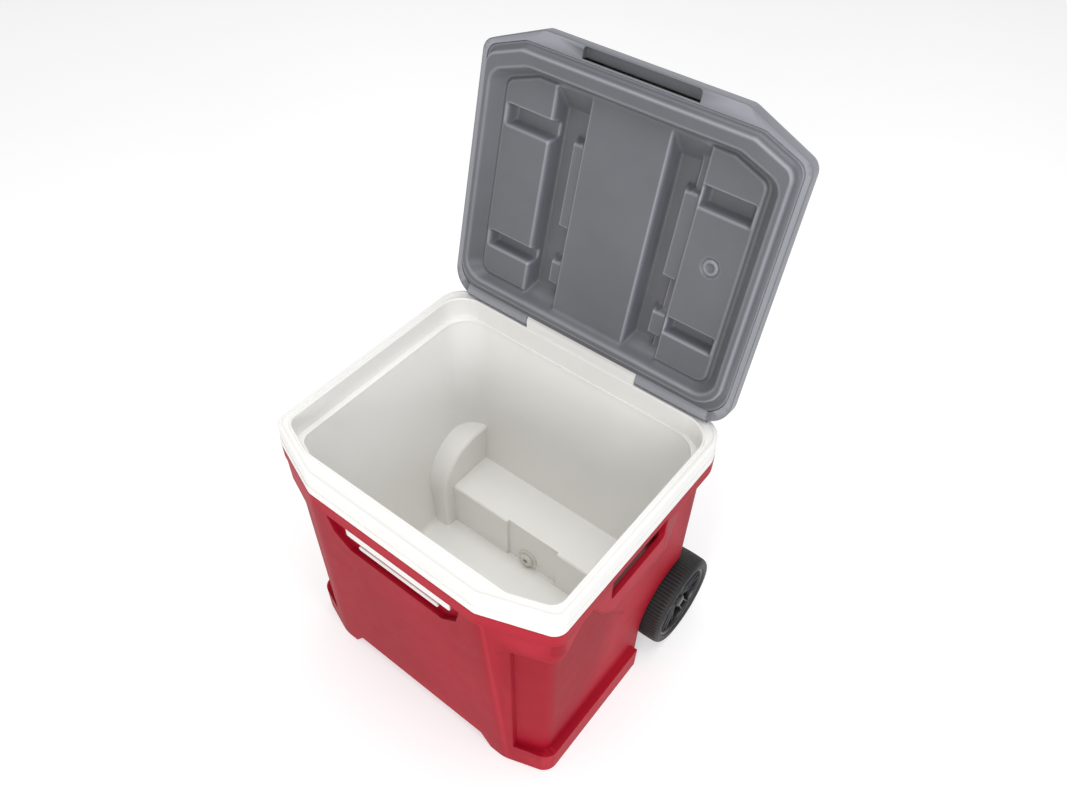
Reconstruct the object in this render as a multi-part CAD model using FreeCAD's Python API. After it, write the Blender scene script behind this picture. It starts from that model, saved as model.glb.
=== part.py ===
import FreeCAD, Part
import math
import os

# Wheeled cool box with a hinged lid, millimetres.
# X is across, +Y is towards the hinge, +Z is up, z = 0 is the ground.
# The lid is drawn closed and then swung open about its hinge.

# ---- driving dimensions -------------------------------------------------
Y_CENTRE = 59.0            # moves the whole part so its box is centred on Y

WALL = 2.5                 # moulded wall thickness
GAP = 0.3                  # gap between separate pieces that only face each other

RIM_TOP = 462.0            # top of the white rim
BAND_H = 40.0              # height of the white band under the rim's top
SHELL_TOP = RIM_TOP - BAND_H - GAP
COLLAR_H = 24.0            # height of the red collar under the band
FLANGE_TOP = 51.0          # top of the base flange
FLANGE_END = 60.0          # where the flange stops, just ahead of the wheel

# plan outlines: half width, front y, back y, chamfer x on the front, chamfer y on the side
RIM = (246.0, -212.0, 205.5, 144.0, -174.5)
COLLAR = (247.5, -213.5, 206.5, 144.0, -175.0)
UPPER = (246.5, -212.0, 206.0, 146.0, -174.0)
BASE = (240.0, -193.0, 206.0, 171.0, -169.0)
PANEL = (228.0, -186.0, 206.0, 163.0, -160.0)
PANEL_TOP = (232.0, -206.0, 206.0, 146.0, -168.0)
MOUTH = (231.0, -184.0, 189.0, 172.0, -162.0)
TUB_TOP = (222.0, -177.0, 187.0, 166.0, -155.0)
TUB_FLOOR = (188.0, -147.0, 154.0, 140.0, -127.0)
LID_OUT = (243.6, -209.0, 211.0, 148.0, -170.0)
LID_PARTING = (235.4, -188.3, 198.5, 173.7, -165.3)
PANEL_EDGE = 186.0         # where the recessed corner panel begins on the chamfer
BADGE_Y = -201.0           # floor of the badge recess
GRIP_BACK = 227.0          # wall behind the side grips
GRIP_FRONT = -66.0         # finger room of the side grips, front and rear ends
GRIP_REAR = 60.0
GRIP_SILL = 368.0          # top of the strap below the finger room
GRIP_HEAD = 12.0           # what is left of the collar above the finger room

SEAT_Z = 424.0             # step inside the tub where the lid's plug sits
FLOOR_Z = 42.0             # tub floor
LEDGE_Z = 136.0            # top of the raised ledge at the back of the tub
LEDGE_Y = 76.0             # front of the ledge
WELL_X = 162.0             # inner side of the wheel-well bumps inside the tub
WELL_Y = 54.0              # front of the bumps
WELL_Z = 213.0             # top of the bumps
WELL_R = 82.0              # rounding of the bumps' upper front edge

AXLE_Y = 163.0
WHEEL_R = 79.0
AXLE_R = 6.0
AXLE_END = 252.4           # half length of the axle
WHEEL_IN = 204.0           # inner face of the tyre
WHEEL_OUT = 259.0          # outer face of the tyre
RIM_R = 63.0               # radius where tyre and hub meet
RUN = 0.05                 # running clearance on the radius of shafts

HINGE_Y = 203.0
HINGE_Z = 471.5
BARREL_R = 12.4            # lid barrels
KNUCKLE_R = 11.6           # centre knuckle on the rim
KNUCKLE_X = 98.0           # half length of the centre knuckle
BARREL_X = 214.0           # outer end of the lid barrels
ROD_R = 3.0
OPEN_ANGLE = 102.9

LID_UNDER = RIM_TOP + GAP  # plane of the lid's skirt bottom when closed
SKIRT_H = 17.0
LID_TOP = 506.0
PLUG_H = 13.5              # how far the plug reaches below the skirt
PAD_H = -2.0               # level of the pads, measured down from the skirt plane
NOTCH_H = -20.0
BOX_H = -9.0
LEDGE_H = -19.0
CHANNEL_H = -29.0
PORT_X = 157.0             # foam-fill plug
PORT_S = 200.0

DRAIN_Y = LEDGE_Y + 5.0    # wall that the drain fitting sits on, in a recess of the ledge
DRAIN_Z = 62.0
DRAIN_R = 7.5              # outer radius of the drain tube
DRAIN_HOLE = 8.0           # hole that the tube passes through
RECESS = (-42.0, 62.0)     # left and right ends of the drain recess
SLEEVE_R = 7.9             # outer radius of the sleeve round the axle
HANDLE_Y = 222.0
HANDLE_Z = 392.0
HANDLE_X = 104.0
HANDLE_L = 285.0
SCREW_R = 2.2
SCREW_DX = 17.0            # bracket screws, each side of the arm
SCREW_DROP = 30.0          # and below the handle's pivot


# ---- small helpers ------------------------------------------------------
def vec(x, y, z):
    return FreeCAD.Vector(x, y, z)


def box(x0, x1, y0, y1, z0, z1):
    return Part.makeBox(x1 - x0, y1 - y0, z1 - z0, vec(x0, y0, z0))


def cyl_x(r, x0, x1, y, z):
    return Part.makeCylinder(r, x1 - x0, vec(x0, y, z), vec(1, 0, 0))


def cyl_y(r, y0, y1, x, z):
    return Part.makeCylinder(r, y1 - y0, vec(x, y0, z), vec(0, 1, 0))


def mirror_x(shape):
    return shape.mirror(vec(0, 0, 0), vec(1, 0, 0))


def both_sides(shape):
    return shape.fuse(mirror_x(shape))


def rounded_wire(points, radii, z):
    """Closed polygon at height z, each corner rounded by a tangent arc."""
    n = len(points)
    starts, mids, ends = [], [], []
    for i in range(n):
        p = vec(points[i][0], points[i][1], z)
        a = vec(points[i - 1][0], points[i - 1][1], z) - p
        b = vec(points[(i + 1) % n][0], points[(i + 1) % n][1], z) - p
        a.normalize()
        b.normalize()
        half = a.getAngle(b) / 2
        reach = radii[i] / math.tan(half)
        out = a + b
        out.normalize()
        starts.append(p + a * reach)
        ends.append(p + b * reach)
        mids.append(p + out * (radii[i] / math.sin(half) - radii[i]))
    edges = []
    for i in range(n):
        edges.append(Part.Arc(starts[i], mids[i], ends[i]).toShape())
        edges.append(Part.LineSegment(ends[i], starts[(i + 1) % n]).toShape())
    return Part.Wire(edges)


def plan(outline, z, grow=0.0, front_r=22.0, side_r=20.0, back_r=40.0):
    """Outline of the box in plan: straight back, two chamfered front corners."""
    w, front, back, cx, cy = outline
    run = w - cx
    rise = cy - front
    slant = math.hypot(run, rise)
    shift_x = grow * (slant - run) / rise
    shift_y = grow * (slant - rise) / run
    pts = [
        (-(cx + shift_x), front - grow), (cx + shift_x, front - grow),
        (w + grow, cy - shift_y), (w + grow, back + grow),
        (-(w + grow), back + grow), (-(w + grow), cy - shift_y),
    ]
    radii = [max(r + grow, 5.0) for r in (front_r, front_r, side_r, back_r, back_r, side_r)]
    return rounded_wire(pts, radii, z)


def slab(outline, z0, z1, grow=0.0, **radii):
    return Part.Face(plan(outline, z0, grow, **radii)).extrude(vec(0, 0, z1 - z0))


def taper(outline0, z0, outline1, z1, grow0=0.0, grow1=0.0, **radii):
    return Part.makeLoft([plan(outline0, z0, grow0, **radii), plan(outline1, z1, grow1, **radii)], True, True)


def fillet(shape, radius, pick):
    """Rounds the edges whose centre point the pick function accepts."""
    edges = [e for e in shape.Edges if pick(e.BoundBox)]
    return shape.makeFillet(radius, edges)


def save(name, shape):
    placed = shape.copy()
    placed.translate(vec(0, -Y_CENTRE, 0))
    placed.exportStep("parts/%s.step" % name)
    box_ = placed.BoundBox
    print("%-20s solids %d valid %s volume %9.0f  x %7.1f..%6.1f y %7.1f..%6.1f z %6.1f..%6.1f" % (
        name, len(placed.Solids), placed.isValid(), placed.Volume,
        box_.XMin, box_.XMax, box_.YMin, box_.YMax, box_.ZMin, box_.ZMax))


# ---- body ---------------------------------------------------------------
def rounded_block(x0, x1, y0, y1, z0, z1, r):
    """Block whose upper front edge, along X, is rounded."""
    block = box(x0, x1, y0, y1, z0, z1)
    return fillet(block, r, lambda b: b.ZMin > z1 - 1 and b.YMax < y0 + 1)


def tub_form(grow):
    """Space inside the tub, or its outer skin when grown by the wall."""
    form = taper(TUB_FLOOR, FLOOR_Z, TUB_TOP, SEAT_Z, grow, grow, back_r=44.0)
    form = fillet(form, 12.0 + grow, lambda b: b.ZMax < FLOOR_Z + 0.1)
    form.translate(vec(0, 0, -grow))
    form = form.common(box(-400, 400, -400, 400, 0, SEAT_Z - grow))
    back = TUB_TOP[2] + 60
    bump = rounded_block(WELL_X + grow, 300, WELL_Y + grow, back, 0, WELL_Z - grow, WELL_R)
    bump = fillet(bump, 6.0, lambda b: b.XMax < WELL_X + grow + 1 and b.YLength > 20)
    ledge = box(-300, 300, LEDGE_Y + grow, back, 0, LEDGE_Z - grow)
    ledge = fillet(ledge, 5.0, lambda b: b.ZMin > LEDGE_Z - grow - 1 and b.YMax < LEDGE_Y + grow + 1)
    recess = box(RECESS[0] - grow, RECESS[1] + grow, LEDGE_Y - 9, DRAIN_Y + grow,
                 FLOOR_Z + 1 - grow, LEDGE_Z + 9)
    return form.cut(both_sides(bump).fuse(ledge.cut(recess)))


def rim_solid():
    """Rim seen from above and from the side: inner lip, flat, outer bead and stepped band."""
    step = RIM_TOP - BAND_H * 0.62
    low = slab(RIM, RIM_TOP - BAND_H, step, 1.0)
    low = fillet(low, 0.9, lambda b: b.ZMin > step - 0.1)
    high = slab(RIM, step - 1, RIM_TOP - 0.6)
    high = fillet(high, 3.0, lambda b: b.ZMin > RIM_TOP - 0.7)
    flat = slab(RIM, RIM_TOP - 1.8, RIM_TOP + 1, -6.0)
    lip = slab(MOUTH, RIM_TOP - 8, RIM_TOP, 4.0)
    lip = fillet(lip, 1.2, lambda b: b.ZMin > RIM_TOP - 0.1)
    return low.fuse(high).cut(flat).fuse(lip)


def mouth_cut():
    """Opening above the seat, with a rounded upper edge."""
    mouth = slab(MOUTH, SEAT_Z, RIM_TOP + 5)
    flare = taper(MOUTH, RIM_TOP - 2.0, MOUTH, RIM_TOP + 0.5, 0.0, 1.6)
    return mouth.fuse(flare)


def inner_liner():
    skin = tub_form(WALL).cut(tub_form(0.0))
    skin = skin.cut(slab(TUB_TOP, SEAT_Z - WALL - 1, SEAT_Z + 5, -0.2, back_r=44.0))
    seat = slab(MOUTH, SEAT_Z - WALL, RIM_TOP - 6, WALL)
    seat = seat.cut(slab(TUB_TOP, SEAT_Z - 10, SEAT_Z + 1, back_r=44.0))
    hollow = slab(RIM, 300, RIM_TOP - WALL - 2.0, -WALL).cut(slab(MOUTH, 290, RIM_TOP, WALL))
    rim = rim_solid().cut(hollow).cut(slab(MOUTH, 300, SEAT_Z + 4, WALL))
    knuckle = cyl_x(KNUCKLE_R, -KNUCKLE_X, KNUCKLE_X, HINGE_Y, HINGE_Z)
    knuckle = fillet(knuckle, 1.2, lambda b: b.XLength < 1)
    web = box(-KNUCKLE_X + 1, KNUCKLE_X - 1, HINGE_Y - KNUCKLE_R, 205.5, RIM_TOP - 10, HINGE_Z)
    liner = skin.fuse([seat, rim, knuckle, web]).cut(mouth_cut())
    for x0, x1 in ((KNUCKLE_X, BARREL_X + 3), (-BARREL_X - 3, -KNUCKLE_X)):
        liner = liner.cut(cyl_x(BARREL_R + 0.6, x0, x1, HINGE_Y, HINGE_Z))
    liner = liner.cut(cyl_x(ROD_R + RUN, -230, 230, HINGE_Y, HINGE_Z))
    return liner.cut(cyl_y(DRAIN_HOLE, LEDGE_Y - 10, LEDGE_Y + 10, 0, DRAIN_Z)).removeSplitter()


def side_prism(points, x0, x1):
    """Polygon given as (y, z) points, extruded along X."""
    pts = [vec(x0, y, z) for y, z in points]
    return Part.Face(Part.makePolygon(pts + [pts[0]])).extrude(vec(x1 - x0, 0, 0))


def panel_cut(t):
    """What is taken away at each side to recess the corner and side panels."""
    under = SHELL_TOP - COLLAR_H
    pts = [(-300, FLANGE_TOP + 22 - t), (-184, FLANGE_TOP + 4 - t), (-160, FLANGE_TOP - t),
           (FLANGE_END - t, FLANGE_TOP - t), (FLANGE_END - t, -20), (400, -20), (400, under + t),
           (-128 - t, under + t), (-158 - t, 362 + t), (-176, 352 + t), (-300, 342 + t)]
    ring = side_prism(pts, PANEL_EDGE - t, 400)
    core = taper(PANEL, -30, PANEL_TOP, SHELL_TOP + 10, -t, -t, back_r=34.0)
    return ring.cut(core)


def grip_bar():
    """Strap that stands off the side wall: joined to the collar in front, faired into the wall behind."""
    out = COLLAR[0]
    under = SHELL_TOP - COLLAR_H + 2
    side = [(-106, under), (-101, 384), (-90, 364), (-68, 338), (-46, 322), (130, 322), (130, under)]
    bar = side_prism(side, PANEL[0] - 6, out)
    bar = fillet(bar, 5.0, lambda b: b.XMin > out - 0.1 and b.ZMax < under - 1 and b.ZLength < 40)
    fair = Part.makePolygon([vec(out + 1, 66, 0), vec(out + 1, 140, 0), vec(PANEL[0] - 1, 140, 0),
                             vec(out + 1, 66, 0)])
    bar = bar.cut(Part.Face(fair).extrude(vec(0, 0, 500)))
    return bar


def grip_pocket(t):
    """Finger room behind the strap, open in front of it, above it and below it."""
    front, rear, head = GRIP_FRONT - t, GRIP_REAR + t, SHELL_TOP - GRIP_HEAD + t
    behind = box(GRIP_BACK - t, COLLAR[0] - 8, front, rear, 316 - t, SHELL_TOP - COLLAR_H)
    above = box(GRIP_BACK - t, 400, front, rear, GRIP_SILL, head)
    above = fillet(above, 9.0, lambda b: b.XLength > 20 and b.ZMax < GRIP_SILL + 1)
    return behind.fuse(above)


def wheel_well(t):
    """Open corner that the wheel turns in."""
    x0 = WHEEL_IN - 8 - t
    r = WHEEL_R + 8 + t
    arch = cyl_x(r, x0, 300, AXLE_Y, WHEEL_R)
    below = box(x0, 300, AXLE_Y - r, 300, -50, WHEEL_R)
    behind = box(x0, 300, AXLE_Y, 300, -50, WHEEL_R + r)
    return arch.fuse([below, behind])


def badge_recess(t):
    """Trapezoid recess in the front, right under the collar."""
    top = SHELL_TOP - COLLAR_H - 3
    right = [(118 + t, top + t), (110 + t, 362), (84 + t, 340 - t)]
    pts = [vec(x, -230, z) for x, z in right + [(-x, z) for x, z in reversed(right)]]
    face = Part.Face(Part.makePolygon(pts + [pts[0]]))
    return face.extrude(vec(0, 230 + BADGE_Y + t, 0))


def tunnel(t):
    """Raised underside between the two side rails."""
    pts = [vec(x, -300, z) for x, z in ((-148 - t, -1), (-127 - t, 31 + t), (127 + t, 31 + t), (148 + t, -1))]
    return Part.Face(Part.makePolygon(pts + [pts[0]])).extrude(vec(0, 700, 0))


def shell_form(t):
    """Outer form of the red shell, or the same form inset by t."""
    under = SHELL_TOP - COLLAR_H
    body = taper(BASE, 0, UPPER, under + t, -t, -t, front_r=60.0, side_r=24.0, back_r=34.0)
    if t:
        body = body.common(box(-400, 400, -400, 400, t, 500))
    else:
        body = fillet(body, 3.0, lambda b: b.ZMax < 0.1)
    collar = slab(COLLAR, under + t, SHELL_TOP + (5 if t else 0), -t, front_r=34.0)
    if not t:
        collar = fillet(collar, 1.5, lambda b: b.ZMax < under + 0.1)
    form = body.cut(both_sides(panel_cut(t))).fuse(collar)
    if not t:
        form = form.fuse(both_sides(grip_bar()))
    cuts = both_sides(grip_pocket(t).fuse(wheel_well(t)))
    return form.cut(cuts).cut(badge_recess(t).fuse(tunnel(t)))


def outer_shell(cavity):
    shell = shell_form(0.0).cut(cavity)
    shell = shell.cut(cyl_x(SLEEVE_R, -300, 300, AXLE_Y, WHEEL_R))
    shell = shell.cut(cyl_y(12.0, 150, 260, 0, DRAIN_Z))
    for x in screw_places():
        shell = shell.cut(cyl_y(SCREW_R, 190, 215, x, HANDLE_Z - SCREW_DROP))
    return shell


def body_foam():
    foam = shell_form(WALL + GAP).common(box(-300, 300, -300, 300, 0, RIM_TOP - BAND_H - 1))
    foam = foam.cut(tub_form(WALL + GAP)).cut(slab(TUB_TOP, SEAT_Z - 20, 500, WALL + GAP, back_r=44.0))
    foam = foam.cut(slab(MOUTH, SEAT_Z - WALL - GAP, 500, WALL + GAP))
    foam = foam.cut(cyl_x(SLEEVE_R + GAP, -300, 300, AXLE_Y, WHEEL_R))
    return foam.cut(cyl_y(14.3, 60, 260, 0, DRAIN_Z))


def front_badge():
    """Plain white badge: two rounded bars on the recess floor."""
    bars = []
    for z, tall, half in ((360.0, 16.0, 94.0), (346.0, 8.0, 72.0)):
        bar = box(-half, half, BADGE_Y - 2.5, BADGE_Y, z, z + tall)
        bar = fillet(bar, 3.5, lambda b: b.XLength < 1 and b.ZLength < 1)
        bars.append(fillet(bar, 0.6, lambda b: b.YMax < BADGE_Y - 2.4))
    return Part.makeCompound(bars)


# ---- wheels -------------------------------------------------------------
def turned(points, y, z):
    """Solid of revolution about the axle line; points are (x, radius)."""
    pts = [vec(x, y, z + r) for x, r in points]
    face = Part.Face(Part.makePolygon(pts + [pts[0]]))
    return face.revolve(vec(0, y, z), vec(1, 0, 0), 360)


def tyre():
    r, i, o = WHEEL_R, WHEEL_IN, WHEEL_OUT
    pts = [(i, RIM_R), (i, r - 6), (i + 2, r - 2.5), (i + 7, r),
           (o - 7, r), (o - 2, r - 2.5), (o, r - 6), (o, RIM_R)]
    return turned(pts, AXLE_Y, WHEEL_R)


def hub():
    i, o, rr = WHEEL_IN + 3, WHEEL_OUT - 3, RIM_R
    drum = turned([(i, rr), (i, rr - 4), (o, rr - 4), (o, rr)], AXLE_Y, WHEEL_R)
    web = turned([(o - 30, rr - 3), (o - 30, 10), (o - 26, 10), (o - 26, rr - 3)], AXLE_Y, WHEEL_R)
    boss = turned([(i, AXLE_R + RUN), (i, 11.5), (o - 6, 11.5), (o - 6, AXLE_R + RUN)], AXLE_Y, WHEEL_R)
    hub_ = drum.fuse([web, boss])
    for k in range(10):
        spoke = box(o - 27, o - 4, AXLE_Y - 2, AXLE_Y + 2, WHEEL_R + 11, WHEEL_R + rr - 3)
        spoke.rotate(vec(0, AXLE_Y, WHEEL_R), vec(1, 0, 0), 36.0 * k)
        hub_ = hub_.fuse(spoke)
    return hub_.removeSplitter()


def hub_cap():
    o = WHEEL_OUT - 9
    pts = [(o + 0.3, 8.6), (o + 0.3, 10.4), (o + 3, 10.4), (o + 5, 8),
           (o + 5.5, 0), (o + 4, 0), (o + 3.6, 7), (o + 2.4, 8.6)]
    return turned(pts, AXLE_Y, WHEEL_R)


def axle():
    return cyl_x(AXLE_R, -AXLE_END, AXLE_END, AXLE_Y, WHEEL_R)


def axle_sleeve():
    end = WHEEL_IN - 8 - WALL
    tube = cyl_x(SLEEVE_R, -end - WALL, end + WALL, AXLE_Y, WHEEL_R)
    return tube.cut(cyl_x(AXLE_R, -300, 300, AXLE_Y, WHEEL_R))


def washers():
    ring = cyl_x(12.0, WHEEL_IN - 7.5, WHEEL_IN + 2.5, AXLE_Y, WHEEL_R)
    return both_sides(ring.cut(cyl_x(AXLE_R, 0, 300, AXLE_Y, WHEEL_R)))


def push_nuts():
    o = WHEEL_OUT - 3
    ring = cyl_x(8.2, o - 5.7, o - 3.8, AXLE_Y, WHEEL_R)
    return ring.cut(cyl_x(AXLE_R, 0, 300, AXLE_Y, WHEEL_R))


# ---- drain --------------------------------------------------------------
def drain_fitting():
    face = DRAIN_Y
    flange = fillet(cyl_y(18.5, face - 3.5, face - 0.2, 0, DRAIN_Z), 1.2, lambda b: b.YMax < face - 3.4)
    boss = fillet(cyl_y(12.0, face - 9, face - 2, 0, DRAIN_Z), 1.5, lambda b: b.YMax < face - 8.9)
    tube = cyl_y(DRAIN_R, face - 4, 214.0, 0, DRAIN_Z)
    body = flange.fuse([boss, tube])
    return body.cut(cyl_y(5.0, face - 10, 230, 0, DRAIN_Z))


def drain_gasket():
    ring = cyl_y(14.0, DRAIN_Y + WALL + 0.2, DRAIN_Y + WALL + 2.7, 0, DRAIN_Z)
    return ring.cut(cyl_y(DRAIN_R, 0, 300, 0, DRAIN_Z))


def drain_nut():
    ring = cyl_y(13.5, DRAIN_Y + WALL + 2.9, DRAIN_Y + WALL + 10.0, 0, DRAIN_Z)
    return ring.cut(cyl_y(DRAIN_R, 0, 300, 0, DRAIN_Z))


def drain_collar():
    ring = cyl_y(16.0, 206.1, 208.3, 0, DRAIN_Z).fuse(cyl_y(11.8, 203.4, 206.5, 0, DRAIN_Z))
    return ring.cut(cyl_y(DRAIN_R, 0, 300, 0, DRAIN_Z))


def drain_cap():
    cap = cyl_y(13.0, 208.5, 219.0, 0, DRAIN_Z).cut(cyl_y(DRAIN_R + 0.7, 200, 215.5, 0, DRAIN_Z))
    grip = box(-11, 11, 218.5, 225.0, DRAIN_Z - 2, DRAIN_Z + 2)
    return cap.fuse(grip)


def cap_seal():
    return cyl_y(DRAIN_R + 0.3, 214.3, 215.4, 0, DRAIN_Z)


# ---- lid, drawn closed --------------------------------------------------
def level(h):
    """Height of a surface that lies h below the lid's skirt plane."""
    return LID_UNDER - h


def hinge_side_clear():
    """Room for the rim's centre knuckle, closed and through the swing."""
    room = cyl_x(KNUCKLE_R + 0.8, -KNUCKLE_X - 0.5, KNUCKLE_X + 0.5, HINGE_Y, HINGE_Z)
    below = box(-KNUCKLE_X - 0.5, KNUCKLE_X + 0.5, HINGE_Y - KNUCKLE_R - 0.8, 230, 440, HINGE_Z)
    return room.fuse(below)


def lid_top_form(grow):
    base = slab(LID_OUT, LID_UNDER, LID_UNDER + SKIRT_H, grow)
    mid = taper(LID_OUT, LID_UNDER + SKIRT_H, LID_OUT, LID_TOP - 7, grow, grow - 12, back_r=42.0)
    top = taper(LID_OUT, LID_TOP - 7, LID_OUT, LID_TOP + min(grow, 0), grow - 12, grow - 34, back_r=42.0)
    if not grow:
        base = fillet(base, 1.5, lambda b: b.ZMax < LID_UNDER + 0.1)
    return base.fuse([mid, top])


def finger_pocket(t):
    """Hollow under the lid's front lip."""
    pocket = box(-86 - t, 86 + t, -207 - t, -190.5, 400, LID_UNDER + 10 + t)
    pocket = fillet(pocket, 5.0, lambda b: b.ZLength > 20 and b.YMax < -200)
    return pocket


def lid_top():
    shell = lid_top_form(0.0)
    barrel = both_sides(cyl_x(BARREL_R, KNUCKLE_X + 0.8, BARREL_X, HINGE_Y, HINGE_Z))
    hollow = lid_top_form(-WALL).cut(finger_pocket(WALL))
    upper = box(-400, 400, -400, 400, LID_UNDER + WALL, 600)
    hollow = hollow.common(slab(LID_PARTING, 400, 600, -0.5).fuse(upper))
    hollow = hollow.cut(box(-300, 300, HINGE_Y - KNUCKLE_R - 4, 300, 400, 490))
    shell = shell.cut(hollow)
    shell = shell.cut(slab(LID_PARTING, 400, LID_UNDER + 3.0))
    shell = shell.fuse(barrel).cut(hinge_side_clear()).cut(finger_pocket(0.0))
    shell = shell.cut(cyl_x(ROD_R + RUN, -230, 230, HINGE_Y, HINGE_Z))
    return shell.removeSplitter()


def wedge(x0, x1, y0, y1, z0, grow_x, grow_y, z1):
    """Block from z0 down to z1 (towards the viewer of the underside) that opens out by grow."""
    ends = []
    for dx, dy, z in ((0, 0, z0), (grow_x, grow_y, z1)):
        pts = [vec(x0 - dx, y0 - dy, z), vec(x1 + dx, y0 - dy, z),
               vec(x1 + dx, y1 + dy, z), vec(x0 - dx, y1 + dy, z)]
        ends.append(Part.makePolygon(pts + [pts[0]]))
    return Part.makeLoft(ends, True, True)


def s_to_y(s):
    """Distance forward of the lid's back parting edge, as a Y value when closed."""
    return LID_PARTING[2] - s


def lid_underside(t):
    """Relief of the lid's underside as a solid reaching up to its roof, offset inwards by t."""
    roof = LID_UNDER + 38
    plug_in = (229.5, -182.5, 184.0, 170.5, -160.5)
    flange = slab(LID_PARTING, LID_UNDER + t + 0.2, roof, -0.4)
    plug = taper(plug_in, level(PLUG_H) + t, plug_in, LID_UNDER + t + 1, -3.0 - t, -0.8 - t, back_r=36.0)
    if not t:
        plug = fillet(plug, 2.5, lambda b: b.ZMax < level(PLUG_H) + 0.1)
    body = flange.fuse(plug)
    inner = (215.5, -158.0, 167.0, 157.0, -139.0)
    pads = (200.0, -150.0, 163.0, 147.0, -133.0)
    body = body.cut(taper(pads, level(PAD_H) + t, inner, level(PLUG_H) - 5, t, t + 3, back_r=18.0))
    for side in (-1, 1):
        x_in, x_out = sorted((side * 62.0, side * 114.0))
        body = body.cut(wedge(x_in + 5 - t, x_out - 5 + t, s_to_y(324) - t, s_to_y(55) + t,
                              level(CHANNEL_H) + t, 6, 20, level(PAD_H) - 6))
        nx0, nx1 = sorted((side * 106.0, side * 189.0))
        for s0, s1 in ((87.0, 102.0), (275.0, 295.0)):
            body = body.cut(wedge(nx0 - t, nx1 + t, s_to_y(s1) - t, s_to_y(s0) + t,
                                  level(NOTCH_H) + t, 4, 4, level(PAD_H) - 6))
    return body


def channel_steps(t):
    """Raised steps along one side of each channel."""
    steps = []
    root = level(CHANNEL_H) + t + 3
    for x1 in (-61.0, 115.0):
        steps.append(box(x1 - 12 + t, x1 + 4, s_to_y(340), s_to_y(36), level(LEDGE_H) + t, root))
        for s0, s1 in ((70.0, 104.0), (159.0, 278.0)):
            steps.append(box(x1 - 25 + t, x1 + 4, s_to_y(s1) + t, s_to_y(s0) - t, level(BOX_H) + t, root))
    return steps


def lid_liner():
    skin = lid_underside(0.0).fuse(channel_steps(0.0)).cut(lid_underside(WALL).fuse(channel_steps(WALL)))
    skin = skin.cut(hinge_side_clear()).cut(cyl_x(BARREL_R + GAP, -230, 230, HINGE_Y, HINGE_Z))
    port = Part.makeCylinder(9.0, 30, vec(PORT_X, s_to_y(PORT_S), level(PAD_H) - 5))
    return skin.cut(port).removeSplitter()


def lid_foam():
    core = lid_underside(WALL + 4).fuse(channel_steps(WALL + 4))
    core = core.common(lid_top_form(-WALL - GAP)).common(slab(LID_PARTING, 400, 600, -6.0))
    core = core.cut(cyl_x(BARREL_R + GAP, -230, 230, HINGE_Y, HINGE_Z))
    return core.cut(box(-300, 300, HINGE_Y - KNUCKLE_R - 4 - GAP, 300, 400, 600))


def fill_plug():
    z = level(PAD_H)
    y = s_to_y(PORT_S)
    stem = Part.makeCylinder(8.9, WALL, vec(PORT_X, y, z))
    head = Part.makeCylinder(7.0, 1.2, vec(PORT_X, y, z - 1.2))
    return stem.fuse(fillet(head, 0.8, lambda b: b.ZMax < z - 1.1))


def opened(shape):
    swung = shape.copy()
    swung.rotate(vec(0, HINGE_Y, HINGE_Z), vec(1, 0, 0), -OPEN_ANGLE)
    return swung


def hinge_rods():
    rod = cyl_x(ROD_R, 60.0, BARREL_X - 2, HINGE_Y, HINGE_Z)
    return both_sides(rod)


# ---- tow handle on the back ---------------------------------------------
def handle_arm():
    arm = box(HANDLE_X - 7, HANDLE_X + 7, HANDLE_Y - 6, HANDLE_Y + 6, HANDLE_Z - HANDLE_L, HANDLE_Z)
    eye = cyl_x(10.0, HANDLE_X - 7, HANDLE_X + 7, HANDLE_Y, HANDLE_Z)
    return arm.fuse(eye).cut(cyl_x(4.0 + RUN, 0, 300, HANDLE_Y, HANDLE_Z))


def handle_frame():
    z = HANDLE_Z - HANDLE_L
    bar = cyl_x(7.0, -HANDLE_X - 7, HANDLE_X + 7, HANDLE_Y, z)
    return both_sides(handle_arm()).fuse(bar).removeSplitter()


def handle_grip():
    z = HANDLE_Z - HANDLE_L
    sleeve = cyl_x(12.5, -78, 78, HANDLE_Y, z)
    sleeve = fillet(sleeve, 4.0, lambda b: b.XLength < 1)
    return sleeve.cut(cyl_x(7.0, -200, 200, HANDLE_Y, z))


def screw_places():
    """X of every bracket screw."""
    return [side * (HANDLE_X + dx) for side in (-1, 1) for dx in (-SCREW_DX, SCREW_DX)]


def handle_bracket():
    plate = box(HANDLE_X - 24, HANDLE_X + 24, 206.8, 210.0, HANDLE_Z - 38, HANDLE_Z + 8)
    plate = fillet(plate, 5.0, lambda b: b.XLength < 1 and b.ZLength < 1)
    inner = box(HANDLE_X - 13, HANDLE_X - 7.6, 208, HANDLE_Y + 9, HANDLE_Z - 12, HANDLE_Z + 8)
    outer = box(HANDLE_X + 7.6, HANDLE_X + 13, 208, HANDLE_Y + 9, HANDLE_Z - 12, HANDLE_Z + 8)
    stop = box(HANDLE_X - 10, HANDLE_X + 10, 208, 210.5, HANDLE_Z - 8, HANDLE_Z + 4)
    bracket = plate.fuse([inner, outer, stop])
    bracket = bracket.cut(cyl_x(4.0, 0, 300, HANDLE_Y, HANDLE_Z))
    for dx in (-SCREW_DX, SCREW_DX):
        bracket = bracket.cut(cyl_y(SCREW_R, 200, 212, HANDLE_X + dx, HANDLE_Z - SCREW_DROP))
    return bracket


def handle_pins():
    pin = cyl_x(4.0, HANDLE_X - 15, HANDLE_X + 15, HANDLE_Y, HANDLE_Z)
    head = cyl_x(6.5, HANDLE_X + 13.2, HANDLE_X + 16, HANDLE_Y, HANDLE_Z)
    return both_sides(pin.fuse(head))


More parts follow.
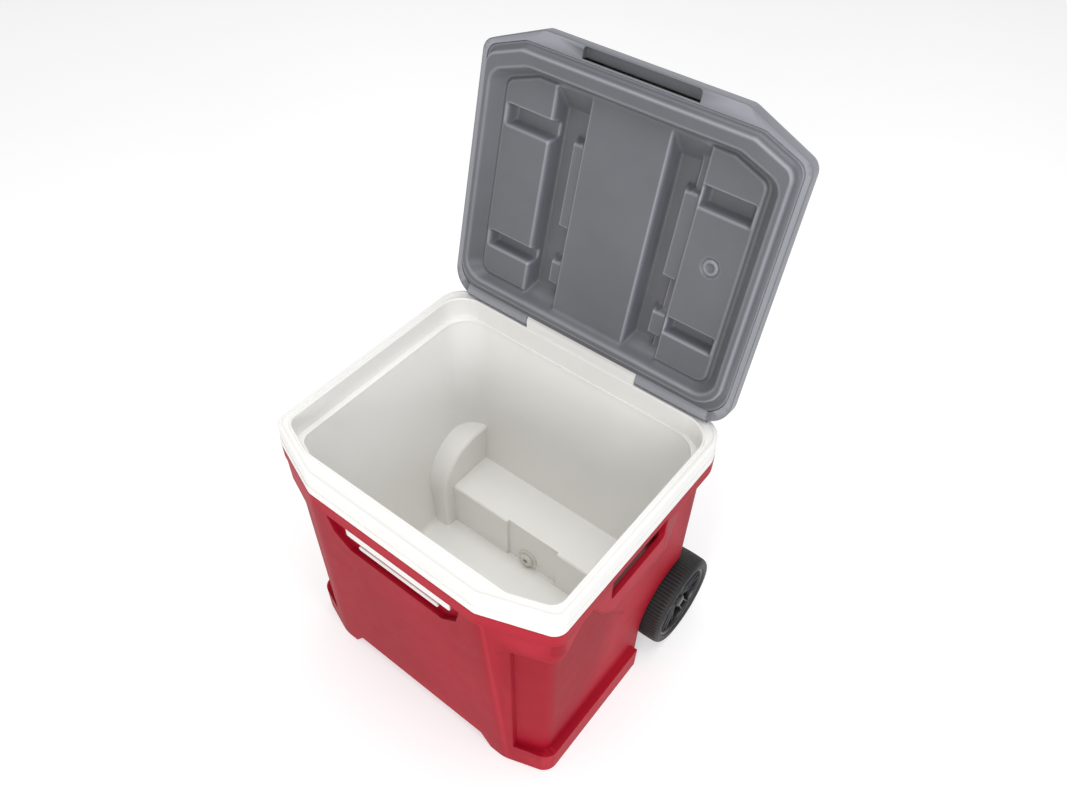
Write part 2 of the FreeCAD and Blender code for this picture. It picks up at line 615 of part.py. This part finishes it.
def bracket_screws():
    screws = []
    for x in screw_places():
        shank = cyl_y(SCREW_R, 203.6, 211, x, HANDLE_Z - SCREW_DROP)
        head = cyl_y(4.4, 210.0, 212.2, x, HANDLE_Z - SCREW_DROP)
        screws.append(shank.fuse(head))
    return Part.makeCompound(screws)


def main():
    os.makedirs("parts", exist_ok=True)
    shell = outer_shell(shell_form(WALL))
    save("outer_shell", shell)
    save("inner_liner", inner_liner())
    save("body_foam", body_foam())
    save("front_badge", front_badge())
    save("axle", axle())
    save("axle_sleeve", axle_sleeve())
    save("axle_washers", washers())
    save("hinge_rods", hinge_rods())
    save("drain_fitting", drain_fitting())
    save("drain_gasket", drain_gasket())
    save("drain_nut", drain_nut())
    save("drain_collar", drain_collar())
    save("drain_cap", drain_cap())
    save("cap_seal", cap_seal())
    brackets = handle_bracket()
    save("bracket_right", brackets)
    save("bracket_left", mirror_x(brackets))
    save("bracket_screws", bracket_screws())
    save("handle_pins", handle_pins())
    save("handle_frame", handle_frame())
    save("handle_grip", handle_grip())
    save("lid_top", opened(lid_top()))
    save("lid_liner", opened(lid_liner()))
    save("lid_foam", opened(lid_foam()))
    save("fill_plug", opened(fill_plug()))
    for name, build in (("tyre", tyre), ("hub", hub), ("hub_cap", hub_cap), ("push_nut", push_nuts)):
        piece = build()
        save(name + "_right", piece)
        save(name + "_left", mirror_x(piece))


main()
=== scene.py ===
import math
import bmesh
import bpy
import numpy as np
from mathutils import Matrix, Vector


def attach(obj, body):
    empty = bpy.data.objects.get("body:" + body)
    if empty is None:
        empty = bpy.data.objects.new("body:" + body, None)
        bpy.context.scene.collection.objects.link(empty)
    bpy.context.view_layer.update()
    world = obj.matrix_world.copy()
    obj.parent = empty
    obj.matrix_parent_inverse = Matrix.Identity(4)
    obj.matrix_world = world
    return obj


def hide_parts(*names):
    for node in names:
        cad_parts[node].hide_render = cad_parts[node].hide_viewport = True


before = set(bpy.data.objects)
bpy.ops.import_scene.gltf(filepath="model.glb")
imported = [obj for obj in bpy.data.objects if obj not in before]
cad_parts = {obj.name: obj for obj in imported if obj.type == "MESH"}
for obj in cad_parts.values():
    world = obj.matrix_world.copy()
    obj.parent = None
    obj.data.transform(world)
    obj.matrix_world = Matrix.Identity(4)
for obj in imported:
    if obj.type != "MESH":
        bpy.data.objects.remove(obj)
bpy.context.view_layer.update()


# ---- materials ------------------------------------------------------------
def node(tree, kind, **sockets):
    """Adds a shader node with its named inputs set."""
    n = tree.nodes.new(kind)
    for key, value in sockets.items():
        n.inputs[key.replace("_", " ")].default_value = value
    return n


def moulded(name, dark, light, rough, grain=900.0, bump=0.02, wave=6.0, coat=0.0, edge=0.0, highlight_gain=1.5,
            spec=0.5, sss=0.0, bevel=0.0):
    """Moulded plastic: slow colour drift, fine grain, uneven gloss, and a painted highlight that makes convex
    edges lighter.
    """
    mat = bpy.data.materials.new(name)
    mat.use_nodes = True
    t = mat.node_tree
    shader = t.nodes["Principled BSDF"]
    shader.inputs["Specular IOR Level"].default_value = spec
    shader.inputs["Coat Weight"].default_value = coat
    shader.inputs["Coat Roughness"].default_value = 0.25
    shader.inputs["Subsurface Weight"].default_value = sss
    shader.inputs["Subsurface Scale"].default_value = 0.004
    place = t.nodes.new("ShaderNodeTexCoord")
    drift = node(t, "ShaderNodeTexNoise", Scale=wave, Detail=5.0, Roughness=0.55)
    t.links.new(place.outputs["Object"], drift.inputs["Vector"])
    ramp = t.nodes.new("ShaderNodeValToRGB")
    ramp.color_ramp.elements[0].position = 0.32
    ramp.color_ramp.elements[0].color = (*dark, 1)
    ramp.color_ramp.elements[1].position = 0.68
    ramp.color_ramp.elements[1].color = (*light, 1)
    t.links.new(drift.outputs["Fac"], ramp.inputs["Fac"])
    colour = ramp.outputs["Color"]
    # painted highlight: convex edges, found by pointiness, are mixed towards a lighter colour in place of
    # edge glints
    if edge:
        geo = t.nodes.new("ShaderNodeNewGeometry")
        painted_edge_highlight = t.nodes.new("ShaderNodeValToRGB")
        painted_edge_highlight.color_ramp.elements[0].position = 0.505
        painted_edge_highlight.color_ramp.elements[0].color = (0, 0, 0, 1)
        painted_edge_highlight.color_ramp.elements[1].position = 0.56
        painted_edge_highlight.color_ramp.elements[1].color = (edge, edge, edge, 1)
        t.links.new(geo.outputs["Pointiness"], painted_edge_highlight.inputs["Fac"])
        mix = t.nodes.new("ShaderNodeMix")
        mix.data_type = "RGBA"
        mix.inputs[7].default_value = (*[min(1.0, c * highlight_gain + 0.02) for c in light], 1)
        t.links.new(painted_edge_highlight.outputs["Color"], mix.inputs[0])
        t.links.new(colour, mix.inputs[6])
        colour = mix.outputs[2]
    t.links.new(colour, shader.inputs["Base Color"])
    gloss = node(t, "ShaderNodeTexNoise", Scale=38.0, Detail=6.0, Roughness=0.6)
    t.links.new(place.outputs["Object"], gloss.inputs["Vector"])
    span = node(t, "ShaderNodeMapRange")
    span.inputs["To Min"].default_value = rough - 0.05
    span.inputs["To Max"].default_value = rough + 0.07
    t.links.new(gloss.outputs["Fac"], span.inputs["Value"])
    t.links.new(span.outputs["Result"], shader.inputs["Roughness"])
    fine = node(t, "ShaderNodeTexNoise", Scale=grain, Detail=3.0)
    t.links.new(place.outputs["Object"], fine.inputs["Vector"])
    relief = node(t, "ShaderNodeBump", Strength=1.0, Distance=bump * 0.001)
    t.links.new(fine.outputs["Fac"], relief.inputs["Height"])
    if bevel:
        soft = t.nodes.new("ShaderNodeBevel")
        soft.samples = 6
        soft.inputs["Radius"].default_value = bevel
        t.links.new(soft.outputs["Normal"], relief.inputs["Normal"])
    t.links.new(relief.outputs["Normal"], shader.inputs["Normal"])
    return mat


# edge and highlight_gain set the strength and brightness of the painted highlight on convex edges
RED = moulded("red_plastic", (0.285, 0.002, 0.012), (0.345, 0.004, 0.018), 0.5, wave=5.0, bump=0.03,
              edge=0.35, highlight_gain=1.7, bevel=0.0025, spec=0.1)
WHITE = moulded("white_plastic", (0.84, 0.83, 0.80), (0.88, 0.872, 0.845), 0.34, wave=4.0, bump=0.01,
                bevel=0.0012, spec=0.4)
GREY = moulded("grey_plastic", (0.122, 0.124, 0.138), (0.142, 0.144, 0.160), 0.42, wave=7.0, bump=0.02,
               edge=0.85, highlight_gain=2.3, bevel=0.0016, spec=0.55)
BLACK = moulded("black_plastic", (0.006, 0.006, 0.007), (0.011, 0.011, 0.012), 0.33, wave=12.0, bump=0.03,
                bevel=0.0006, edge=0.8, highlight_gain=5.0, spec=0.5)
TYRE = moulded("tyre_plastic", (0.005, 0.005, 0.005), (0.011, 0.010, 0.010), 0.5, wave=18.0, bump=0.06,
               grain=1500.0, edge=0.5, highlight_gain=4.0, spec=0.35)
STEEL = moulded("zinc_steel", (0.42, 0.42, 0.43), (0.55, 0.55, 0.56), 0.32, wave=30.0, bump=0.01)
STEEL.node_tree.nodes["Principled BSDF"].inputs["Metallic"].default_value = 1.0
RUBBER = moulded("seal_rubber", (0.012, 0.012, 0.012), (0.02, 0.02, 0.02), 0.7, wave=40.0, bump=0.05)
CREAM = moulded("drain_plastic", (0.66, 0.64, 0.58), (0.74, 0.72, 0.67), 0.38, wave=30.0, bump=0.01)
FOAM = moulded("rigid_foam", (0.62, 0.55, 0.36), (0.74, 0.68, 0.48), 0.85, wave=60.0, bump=0.4, grain=500.0)

BY_NODE = {
    "outer_shell": RED, "inner_liner": WHITE, "body_foam": FOAM, "front_badge": WHITE, "axle": STEEL,
    "axle_sleeve": BLACK, "axle_washers": CREAM, "hinge_rods": STEEL, "drain_fitting": CREAM,
    "drain_gasket": RUBBER, "drain_nut": CREAM, "drain_collar": CREAM, "drain_cap": BLACK, "cap_seal": RUBBER,
    "bracket_right": BLACK, "bracket_left": BLACK, "bracket_screws": STEEL, "handle_pins": STEEL,
    "handle_frame": GREY, "handle_grip": BLACK, "lid_top": GREY, "lid_liner": GREY, "lid_foam": FOAM,
    "fill_plug": GREY,
}
for side in ("right", "left"):
    BY_NODE["tyre_" + side] = TYRE
    BY_NODE["hub_" + side] = BLACK
    BY_NODE["hub_cap_" + side] = BLACK
    BY_NODE["push_nut_" + side] = STEEL


def dress(name, mat):
    """Gives one CAD piece its material without changing its mesh."""
    obj = bpy.data.objects[name]
    for s in obj.material_slots:
        s.link = "OBJECT"
        s.material = mat


for name, mat in BY_NODE.items():
    dress(name, mat)


# ---- lid underside ----------------------------------------------------------
HINGE = Vector((0, 0.144, 0.4715))
OPEN_ANGLE = math.radians(-102.9)
SWING = Matrix.Translation(HINGE) @ Matrix.Rotation(OPEN_ANGLE, 4, "X") @ Matrix.Translation(-HINGE)
SKIRT_Z = 462.5            # underside plane of the closed lid, mm
SHIFT_Y = -59.0            # CAD drawing frame to this frame, mm


def hexagon(half, front, back, cx, cy):
    """Plan outline of the box: straight back, two chamfered front corners."""
    return [(-cx, front), (cx, front), (half, cy), (half, back), (-half, back), (-half, cy)]


def inset(points, r):
    """The convex outline moved inwards by r."""
    out = []
    n = len(points)
    for i in range(n):
        a, b, c = (Vector(points[(i + k) % n]) for k in (-1, 0, 1))
        n1 = Vector((-(b - a).y, (b - a).x)).normalized()
        n2 = Vector((-(c - b).y, (c - b).x)).normalized()
        out.append(tuple(b + (n1 + n2) * (r / (1 + n1.dot(n2)))))
    return out


def depth_in(points, x, y, front_r=21.0, back_r=40.0):
    """Distance inside the rounded outline; negative outside it."""
    return np.where(y < 0, depth_round(points, front_r, x, y), depth_round(points, back_r, x, y))


def depth_round(points, r, x, y):
    """Distance inside a convex outline with every corner rounded by r."""
    poly = inset(points, r)
    best = np.full(x.shape, 1e9)
    inside = np.ones(x.shape, bool)
    for i, (ax, ay) in enumerate(poly):
        bx, by = poly[(i + 1) % len(poly)]
        ex, ey = bx - ax, by - ay
        t = np.clip(((x - ax) * ex + (y - ay) * ey) / (ex * ex + ey * ey), 0, 1)
        best = np.minimum(best, np.hypot(x - ax - t * ex, y - ay - t * ey))
        inside &= (ex * (y - ay) - ey * (x - ax)) >= 0
    return np.where(inside, best, -best) + r


def step(v, a, b):
    """0 below a, 1 above b, straight between."""
    return np.clip((v - a) / (b - a), 0, 1)


def trough(h, x, y, x0, x1, y0, y1, floor, wx, wy0, wy1):
    """Sinks a rectangular trough with sloped walls into the heights."""
    into = np.minimum(np.minimum(step(x, x0, x0 + wx), step(-x, -x1, wx - x1)),
                      np.minimum(step(y, y0, y0 + wy0), step(-y, -y1, wy1 - y1)))
    return np.minimum(h, h + (floor - h) * into)


def plateau(h, x, y, x0, x1, y0, y1, top, wall):
    """Raises a block with sloped walls out of the heights."""
    up = np.minimum(np.minimum(step(x, x0, x0 + wall), step(-x, -x1, wall - x1)),
                    np.minimum(step(y, y0, y0 + wall), step(-y, -y1, wall - y1)))
    return np.maximum(h, h + (top - h) * up)


def blurred(h, passes):
    """Softens the heights over their nearest neighbours."""
    for _ in range(passes):
        h = np.pad(h, 1, mode="edge")
        h = (h[:-2] + 2 * h[1:-1] + h[2:]) / 4
        h = (h[:, :-2] + 2 * h[:, 1:-1] + h[:, 2:]) / 4
    return h


PARTING = hexagon(235.1, -188.0, 198.2, 173.6, -165.1)
PLUG = hexagon(229.5, -181.6, 183.6, 170.5, -160.0)
PLUG_IN = hexagon(217.0, -160.5, 169.5, 158.5, -140.5)
POCKET = hexagon(199.0, -150.5, 161.5, 147.0, -131.5)
LOW = -29.0                # floor of the two long channels, mm below the skirt plane
VALLEY = -6.0              # slope around the pads, at the channels' ends
PAD = -1.5                 # face of the raised pads
TOP = 13.5                 # face of the rim that enters the tub
GRID = 1.5                 # spacing of the skin's vertices
SKIN = 2.2                 # thickness of the skin
PORT = (157.0, -1.5)       # foam-fill plug


def underside(x, y):
    """Height of the lid's underside below its skirt plane, before softening."""
    out = depth_in(PLUG, x, y)
    rim = depth_in(PLUG_IN, x, y, 24, 30)
    floor = depth_in(POCKET, x, y, 16, 18)
    h = TOP * step(out, 0, 2.4)
    slope = np.clip(rim, 0, None) / (np.clip(rim, 0, None) + np.clip(-floor, 0, None) + 1e-6)
    base = PAD + (VALLEY - PAD) * step(np.abs(x), 100, 118)
    h = np.where(rim > 0, TOP + (base - TOP) * np.clip(slope * 1.2, 0, 1), h)
    h = h + (PAD - h) * step(floor, 0, 3.5)
    for side in (-1, 1):
        a, b = sorted((side * 61.0, side * 115.5))
        h = trough(h, x, y, a, b, -150, 166, LOW, 5.0, 34.0, 18.0)
    for edge, ledge_w, box_w in ((-61.0, 11.5, 24.0), (115.5, 17.5, 28.0)):
        h = plateau(h, x, y, edge - ledge_w, edge + 0.5, -138, 158, np.minimum(h + 30, -19.0), 2.0)
        for y0, y1 in ((-81.0, 39.5), (95.0, 129.0)):
            h = plateau(h, x, y, edge - box_w, edge + 0.5, y0 - 4, y1 + 4, np.minimum(h + 30, -8.5), 4.0)
    for side in (-1, 1):
        a, b = sorted((side * (108.0 if side < 0 else 116.0), side * 191.0))
        for y0, y1 in ((-100.0, -71.0), (90.0, 114.5)):
            h = trough(h, x, y, a, b, y0, y1, -20.0, 6.0, 4.0, 4.0)
    ring = np.hypot(x - 152, y + 118)
    port = np.hypot(x - PORT[0], y - PORT[1])
    return h + 0.35 * (np.abs(ring - 5.5) < 0.8) - 1.6 * (port < 12.6)


def mesh_piece(name, verts, faces, mat):
    """Adds a smooth-shaded mesh object with one material."""
    mesh = bpy.data.meshes.new(name)
    mesh.from_pydata(verts, [], faces)
    mesh.update()
    obj = bpy.data.objects.new(name, mesh)
    bpy.context.scene.collection.objects.link(obj)
    mesh.materials.append(mat)
    mesh.polygons.foreach_set("use_smooth", [True] * len(mesh.polygons))
    return obj


def lid_underside():
    """The lid's inner moulding as one soft skin, closed behind by an offset copy."""
    xs = np.arange(-236, 236.01, GRID)
    ys = np.arange(-190, 200.01, GRID)
    gx, gy = np.meshgrid(xs, ys, indexing="ij")
    high = blurred(underside(gx, gy), 1)
    inside = depth_in(PARTING, gx, gy)
    high = np.where(inside < 2.5, high - 1.2 * (1 - np.clip(inside, 0, 2.5) / 2.5) ** 2, high)
    inward = np.gradient(inside, GRID)
    pull = np.clip(-inside, 0, None) / np.hypot(*inward)
    gx, gy = gx + inward[0] * pull, gy + inward[1] * pull
    keep = inside > -1.45 * GRID
    number = -np.ones(gx.shape, int)
    number[keep] = np.arange(keep.sum())
    verts = []
    for lift in (0.0, SKIN):
        z = SKIRT_Z - high + lift
        verts += [SWING @ Vector((a / 1000, (b + SHIFT_Y) / 1000, c / 1000))
                  for a, b, c in zip(gx[keep], gy[keep], z[keep])]
    count = int(keep.sum())
    faces = []
    for i in range(len(xs) - 1):
        for j in range(len(ys) - 1):
            quad = [number[i, j], number[i, j + 1], number[i + 1, j + 1], number[i + 1, j]]
            if min(quad) >= 0 and inside[i:i + 2, j:j + 2].max() > 0:
                faces.append([int(k) for k in quad])
    back = [[k + count for k in reversed(f)] for f in faces]
    mesh = mesh_piece("lid_inner_skin", verts, faces + back, GREY)
    bm = bmesh.new()
    bm.from_mesh(mesh.data)
    bmesh.ops.delete(bm, geom=[v for v in bm.verts if not v.link_faces], context="VERTS")
    rims = [e for e in bm.edges if e.is_boundary]
    bmesh.ops.bridge_loops(bm, edges=rims)
    bm.to_mesh(mesh.data)
    bm.free()
    mesh.data.polygons.foreach_set("use_smooth", [True] * len(mesh.data.polygons))
    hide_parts("lid_liner")
    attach(mesh, "lid")


def fill_plug():
    """Round push-in plug in a pad, with a raised ring and a dished middle."""
    profile = [(3.2, -0.3), (5.6, 0.5), (6.6, 1.5), (8.0, 1.8), (9.4, 1.5), (10.6, 0.4), (11.0, -1.0)]
    spin = 72
    verts, faces = [], []
    for i in range(spin):
        a = math.tau * i / spin
        for r, up in profile:
            spot = ((PORT[0] + r * math.cos(a)) / 1000, (PORT[1] + SHIFT_Y + r * math.sin(a)) / 1000,
                    (SKIRT_Z - PAD + 1.0 - up) / 1000)
            verts.append(SWING @ Vector(spot))
    n = len(profile)
    for i in range(spin):
        j = (i + 1) % spin
        for k in range(n - 1):
            faces.append([i * n + k, j * n + k, j * n + k + 1, i * n + k + 1])
    faces.append([i * n for i in reversed(range(spin))])
    faces.append([i * n + n - 1 for i in range(spin)])
    plug = mesh_piece("fill_button", verts, faces, GREY)
    bm = bmesh.new()
    bm.from_mesh(plug.data)
    bmesh.ops.recalc_face_normals(bm, faces=bm.faces)
    bm.to_mesh(plug.data)
    bm.free()
    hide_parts("fill_plug")
    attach(plug, "lid")


lid_underside()
fill_plug()


# ---- wheels -------------------------------------------------------------------
AXLE_Y, AXLE_Z = 0.104, 0.079


class Shape:
    """Collects vertices and faces of one mesh, in metres about the wheel's own axle."""

    def __init__(self):
        self.verts = []
        self.faces = []

    def ring_surface(self, profile, count, swell=None):
        """Closed surface turned about the X axis; profile is a closed loop of (x, radius) in mm."""
        base = len(self.verts)
        n = len(profile)
        for i in range(count):
            a = math.tau * i / count
            for k, (x, r) in enumerate(profile):
                rr = r + (swell(i, k) if swell else 0.0)
                self.verts.append((x / 1000, rr * math.sin(a) / 1000, rr * math.cos(a) / 1000))
        for i in range(count):
            j = (i + 1) % count
            for k in range(n):
                m = (k + 1) % n
                self.faces.append([base + i * n + k, base + i * n + m, base + j * n + m, base + j * n + k])

    def spoke(self, inner, outer, half_in, half_out, x_in, x_out, deep):
        """Tapered bar between two points (angle, radius) on the wheel's face, its halves and depth in mm."""
        base = len(self.verts)
        for (a, r), half, x in ((inner, half_in, x_in), (outer, half_out, x_out)):
            mid = Vector((0, math.sin(a), math.cos(a))) * r
            other = outer if (a, r) == inner else inner
            far = Vector((0, math.sin(other[0]), math.cos(other[0]))) * other[1]
            along = (far - mid).normalized() * (1 if (a, r) == inner else -1)
            cross = Vector((0, -along.z, along.y))
            for s, d in ((-1, 0), (1, 0), (1.25, -deep), (-1.25, -deep)):
                q = mid + cross * (s * half)
                self.verts.append(((x + d) / 1000, q.y / 1000, q.z / 1000))
        for k in range(4):
            m = (k + 1) % 4
            self.faces.append([base + k, base + m, base + 4 + m, base + 4 + k])
        self.faces.append([base + 3, base + 2, base + 1, base])
        self.faces.append([base + 4, base + 5, base + 6, base + 7])

    def piece(self, name, mat, side, bevel=0.0):
        """Makes the object on the given side of the box."""
        verts = [(side * x, y + AXLE_Y, z + AXLE_Z) for x, y, z in self.verts]
        obj = mesh_piece(name, verts, self.faces, mat)
        bm = bmesh.new()
        bm.from_mesh(obj.data)
        bmesh.ops.recalc_face_normals(bm, faces=bm.faces)
        bm.to_mesh(obj.data)
        bm.free()
        if bevel:
            soft = obj.modifiers.new("soft edges", "BEVEL")
            soft.width = bevel
            soft.segments = 2
            soft.limit_method = "ANGLE"
            soft.angle_limit = math.radians(40)
            obj.modifiers.new("shade", "WEIGHTED_NORMAL")
        return obj


def wheel(side, word):
    """Ribbed tyre and barred hub of one wheel."""
    ribs = 78
    tyre = Shape()
    profile = [(204.5, 63.1), (204.2, 72.0), (205.0, 75.0), (207.5, 77.4), (211.0, 78.2), (216.0, 78.5),
               (224.0, 78.8), (231.5, 78.9), (239.0, 78.8), (247.0, 78.5), (251.5, 78.1), (255.0, 77.0),
               (257.4, 75.0), (258.4, 73.4), (258.8, 72.6), (258.2, 71.6), (258.0, 70.5), (258.0, 67.5),
               (258.5, 66.6), (258.6, 65.4), (257.6, 64.6), (256.5, 63.1)]
    tread = {k for k, (x, r) in enumerate(profile) if 211.5 < x < 251.0}
    shoulder = {k for k, (x, r) in enumerate(profile) if r > 77.2 and k not in tread}

    def swell(i, k):
        up = i % 6 in (1, 2, 3, 4)
        if k in tread:
            return 0.0 if up else -1.8
        if k in shoulder:
            return 0.0 if up else -1.1
        return 0.0

    tyre.ring_surface(profile, ribs * 6, swell)
    body = tyre.piece("tread_" + word, TYRE, side)
    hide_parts("tyre_" + word)
    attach(body, "wheel_" + word)
    hub = Shape()
    hub.ring_surface([(207.0, 62.9), (207.0, 58.5), (228.0, 57.0), (250.0, 57.5),
                      (254.5, 58.6), (256.0, 60.0), (256.2, 61.8), (255.6, 62.9)], 96)
    hub.ring_surface([(218.0, 57.6), (218.0, 10.0), (221.0, 10.0), (221.0, 57.6)], 96)
    hub.ring_surface([(207.2, 6.2), (207.2, 11.0), (246.0, 11.2), (249.8, 10.2), (249.8, 6.2)], 48)
    for k in range(5):
        mid = math.tau * k / 5 + 0.12
        for lean in (-1, 1):
            hub.spoke((mid + lean * 0.42, 10.0), (mid + lean * 0.15, 58.2), 1.1, 0.9, 249.0, 253.0, 22.0)
        hub.spoke((mid + math.pi / 5, 10.0), (mid + math.pi / 5, 58.2), 1.0, 0.8, 246.0, 250.0, 22.0)
    rim = hub.piece("spokes_" + word, BLACK, side, 0.0006)
    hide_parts("hub_" + word)
    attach(rim, "wheel_" + word)


wheel(1, "right")
wheel(-1, "left")


# ---- floor, light, camera ---------------------------------------------------
def floor():
    """Pale studio floor, lit a little from within so that it stays near white."""
    mesh = bpy.data.meshes.new("studio_floor")
    half = 12.0
    corners = [(-half, -half, 0), (half, -half, 0), (half, half, 0), (-half, half, 0)]
    mesh.from_pydata(corners, [], [(0, 1, 2, 3)])
    obj = bpy.data.objects.new("studio_floor", mesh)
    bpy.context.scene.collection.objects.link(obj)
    paint = moulded("floor_paint", (0.60, 0.60, 0.60), (0.62, 0.62, 0.62), 0.8, wave=0.7, spec=0.1)
    shader = paint.node_tree.nodes["Principled BSDF"]
    shader.inputs["Emission Color"].default_value = (1, 1, 1, 1)
    shader.inputs["Emission Strength"].default_value = 0.48
    mesh.materials.append(paint)


def area(name, place, target, size, power, tint=(1, 1, 1)):
    """Rectangular lamp at a place, facing a target."""
    lamp = bpy.data.lights.new(name, "AREA")
    lamp.shape = "RECTANGLE"
    lamp.size, lamp.size_y = size
    lamp.energy = power
    lamp.color = tint
    obj = bpy.data.objects.new(name, lamp)
    bpy.context.scene.collection.objects.link(obj)
    obj.location = place
    obj.rotation_euler = (Vector(target) - Vector(place)).to_track_quat("-Z", "Y").to_euler()


def studio():
    """Even white surroundings, a large lamp above and a smaller one in front and to the right."""
    world = bpy.data.worlds.new("studio")
    bpy.context.scene.world = world
    world.use_nodes = True
    world.node_tree.nodes["Background"].inputs["Color"].default_value = (1, 1, 1, 1)
    world.node_tree.nodes["Background"].inputs["Strength"].default_value = 0.45
    area("overhead", (0.1, 0.2, 3.4), (0, 0, 0.2), (2.8, 2.8), 66)
    area("front_key", (1.0, -2.5, 1.25), (0, 0, 0.35), (0.8, 0.9), 26)
    area("right_fill", (2.7, -0.7, 1.5), (0, 0.1, 0.5), (0.7, 0.9), 16, (0.88, 0.92, 1.0))
    bpy.context.scene.view_settings.view_transform = "Standard"


def camera():
    """Camera at the photograph's viewpoint."""
    az, roll = math.radians(37.27), math.radians(1.35)
    ahead = Vector((-0.4166, 0.5475, -0.7257)).normalized()
    right = Vector((math.cos(az), math.sin(az), 0))
    right = (right - ahead * right.dot(ahead)).normalized()
    up = right.cross(ahead)
    side = right * math.cos(roll) + up * math.sin(roll)
    top = up * math.cos(roll) - right * math.sin(roll)
    data = bpy.data.cameras.new("view")
    data.lens = 31.15
    data.sensor_width = 36.0
    obj = bpy.data.objects.new("view", data)
    bpy.context.scene.collection.objects.link(obj)
    turn = Matrix((side, top, -ahead)).transposed().to_4x4()
    obj.matrix_world = Matrix.Translation(Vector((0.5445, -0.6891, 1.4018))) @ turn
    bpy.context.scene.camera = obj


floor()
studio()
camera()
